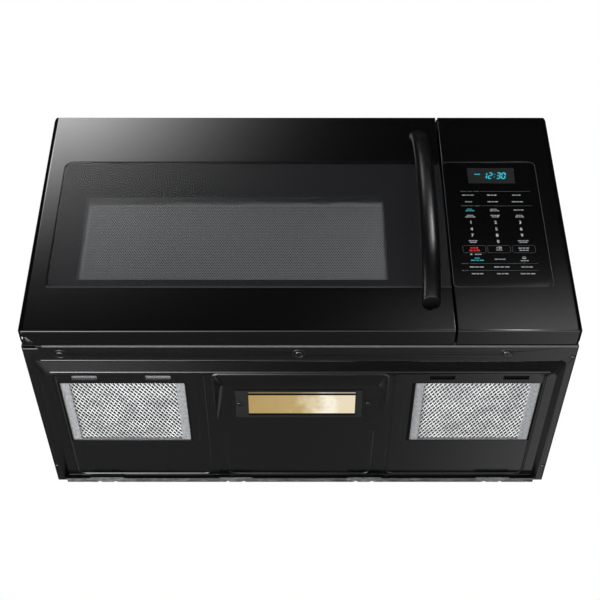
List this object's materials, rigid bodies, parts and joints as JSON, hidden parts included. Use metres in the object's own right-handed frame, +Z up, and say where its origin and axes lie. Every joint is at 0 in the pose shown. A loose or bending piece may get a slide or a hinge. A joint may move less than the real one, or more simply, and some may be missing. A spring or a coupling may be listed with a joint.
{
  "type": "over-the-range microwave oven",
  "caption": "Over-the-range microwave oven with a hinged door, bow handle, turntable, keypad, hood fan, cooktop lamp and sliding grease filters.",
  "frame": {"origin": "centre of the whole box in plan, at the lowest point of the base screws' heads", "axes": "+X to the right as seen from the front, +Y from the door to the wall, +Z up"},
  "size_m": [0.759, 0.4615, 0.4191],
  "materials": {
    "outer_case": "satin black paint",
    "back_plate": "galvanised",
    "base_pan": "satin charcoal paint",
    "front_plate": "satin black paint",
    "oven_cavity": "light grey enamel",
    "component_tray": "galvanised",
    "vent_grille": "matt",
    "charcoal_filter": "matt",
    "cord_grommet": "matt",
    "blower_housing": "satin",
    "blower_motor": "satin",
    "blower_wheels": "satin",
    "waveguide": "galvanised",
    "waveguide_cover": "mica",
    "magnetron": "satin",
    "hv_transformer": "varnished",
    "hv_capacitor": "satin",
    "hv_diode": "matt",
    "noise_filter": "matt",
    "thermal_cutouts": "ceramic",
    "cavity_lamp": "matt",
    "cooling_fan_frame": "matt",
    "cooling_fan_motor": "satin",
    "cooling_fan_blade": "satin",
    "latch_board": "matt",
    "interlock_switches": "matt",
    "hinge_brackets": "zinc plated",
    "turntable_motor": "satin",
    "turntable_coupler": "matt",
    "glass_tray": "clear",
    "roller_ring": "matt",
    "roller_1": "matt",
    "roller_2": "matt",
    "roller_3": "matt",
    "cooktop_lamp_housing": "satin",
    "cooktop_lamp_bulb": "frosted",
    "lamp_cover": "satin black paint",
    "lamp_lens": "frosted",
    "lamp_screws": "black oxide",
    "base_screws": "black oxide",
    "filter_frame_left": "satin",
    "filter_mesh_left": "satin",
    "filter_frame_right": "satin",
    "filter_mesh_right": "satin",
    "control_panel": "gloss black",
    "control_overlay": "gloss black",
    "key_membrane": "matt",
    "display_module": "gloss",
    "control_board": "matt",
    "door_frame": "gloss black",
    "door_glass": "tinted",
    "door_inner_panel": "satin black paint",
    "door_choke": "grey enamel",
    "door_screen": "dark enamel",
    "inner_window": "clear",
    "choke_cover": "matt",
    "handle": "satin black",
    "handle_screws": "zinc plated",
    "latch_key": "matt",
    "latch_spring": "bright"
  },
  "bodies": {
    "chassis": {"outer_case": "outer_case", "back_plate": "back_plate", "base_pan": "base_pan", "front_plate": "front_plate", "oven_cavity": "oven_cavity", "component_tray": "component_tray", "vent_grille": "vent_grille", "charcoal_filter": "charcoal_filter", "cord_grommet": "cord_grommet", "blower_housing": "blower_housing", "blower_motor": "blower_motor", "waveguide": "waveguide", "waveguide_cover": "waveguide_cover", "magnetron": "magnetron", "hv_transformer": "hv_transformer", "hv_capacitor": "hv_capacitor", "hv_diode": "hv_diode", "noise_filter": "noise_filter", "thermal_cutouts": "thermal_cutouts", "cavity_lamp": "cavity_lamp", "cooling_fan_frame": "cooling_fan_frame", "cooling_fan_motor": "cooling_fan_motor", "latch_board": "latch_board", "interlock_switches": "interlock_switches", "hinge_brackets": "hinge_brackets", "turntable_motor": "turntable_motor", "cooktop_lamp_housing": "cooktop_lamp_housing", "cooktop_lamp_bulb": "cooktop_lamp_bulb", "lamp_cover": "lamp_cover", "lamp_lens": "lamp_lens", "lamp_screws": "lamp_screws", "base_screws": "base_screws", "control_panel": "control_panel", "control_overlay": "control_overlay", "key_membrane": "key_membrane", "display_module": "display_module", "control_board": "control_board"},
    "door": {"door_frame": "door_frame", "door_glass": "door_glass", "door_inner_panel": "door_inner_panel", "door_choke": "door_choke", "door_screen": "door_screen", "inner_window": "inner_window", "choke_cover": "choke_cover", "handle": "handle", "handle_screws": "handle_screws", "latch_spring": "latch_spring"},
    "latch_key": {"latch_key": "latch_key"},
    "tray": {"turntable_coupler": "turntable_coupler", "glass_tray": "glass_tray"},
    "roller_ring": {"roller_ring": "roller_ring"},
    "roller_1": {"roller_1": "roller_1"},
    "roller_2": {"roller_2": "roller_2"},
    "roller_3": {"roller_3": "roller_3"},
    "blower_wheels": {"blower_wheels": "blower_wheels"},
    "fan_blade": {"cooling_fan_blade": "cooling_fan_blade"},
    "filter_left": {"filter_frame_left": "filter_frame_left", "filter_mesh_left": "filter_mesh_left"},
    "filter_right": {"filter_frame_right": "filter_frame_right", "filter_mesh_right": "filter_mesh_right"}
  },
  "joints": [
    {"name": "door_hinge", "type": "hinge", "parent": "chassis", "child": "door", "pos_m": [-0.368, -0.13772, 0.2016], "axis": [0, 0, -1], "range_deg": [0, 110]},
    {"name": "latch_key_slide", "type": "slide", "parent": "door", "child": "latch_key", "axis": [0, 0, 1], "range_m": [0, 0.004], "stiffness_N_per_m": 300, "springref_m": -0.004, "deforming": ["latch_spring"]},
    {"name": "tray_spin", "type": "hinge", "parent": "chassis", "child": "tray", "pos_m": [-0.087, 0.04898, 0.0736], "axis": [0, 0, 1], "continuous": true},
    {"name": "ring_spin", "type": "hinge", "parent": "chassis", "child": "roller_ring", "pos_m": [-0.087, 0.04898, 0.0669], "axis": [0, 0, 1], "continuous": true},
    {"name": "blower_spin", "type": "hinge", "parent": "chassis", "child": "blower_wheels", "pos_m": [0, 0.16678, 0.3601], "axis": [1, 0, 0], "continuous": true},
    {"name": "fan_spin", "type": "hinge", "parent": "chassis", "child": "fan_blade", "pos_m": [0.278, -0.04372, 0.1026], "axis": [0, 1, 0], "continuous": true},
    {"name": "filter_slide_left", "type": "slide", "parent": "chassis", "child": "filter_left", "axis": [0, 1, 0], "range_m": [0, 0.008]},
    {"name": "filter_slide_right", "type": "slide", "parent": "chassis", "child": "filter_right", "axis": [0, 1, 0], "range_m": [0, 0.008]},
    {"name": "roller_1_spin", "type": "hinge", "parent": "roller_ring", "child": "roller_1", "pos_m": [-0.00516, 0.09623, 0.0669], "axis": [0.866, 0.5, 0], "continuous": true},
    {"name": "roller_2_spin", "type": "hinge", "parent": "roller_ring", "child": "roller_2", "pos_m": [-0.16884, 0.09623, 0.0669], "axis": [-0.866, 0.5, 0], "continuous": true},
    {"name": "roller_3_spin", "type": "hinge", "parent": "roller_ring", "child": "roller_3", "pos_m": [-0.087, -0.04552, 0.0669], "axis": [0, -1, 0], "continuous": true}
  ],
  "couplings": [
    {"joint": "ring_spin", "follows": "tray_spin", "ratio": 0.5},
    {"joint": "roller_1_spin", "follows": "tray_spin", "ratio": -6.75},
    {"joint": "roller_2_spin", "follows": "tray_spin", "ratio": -6.75},
    {"joint": "roller_3_spin", "follows": "tray_spin", "ratio": -6.75}
  ]
}
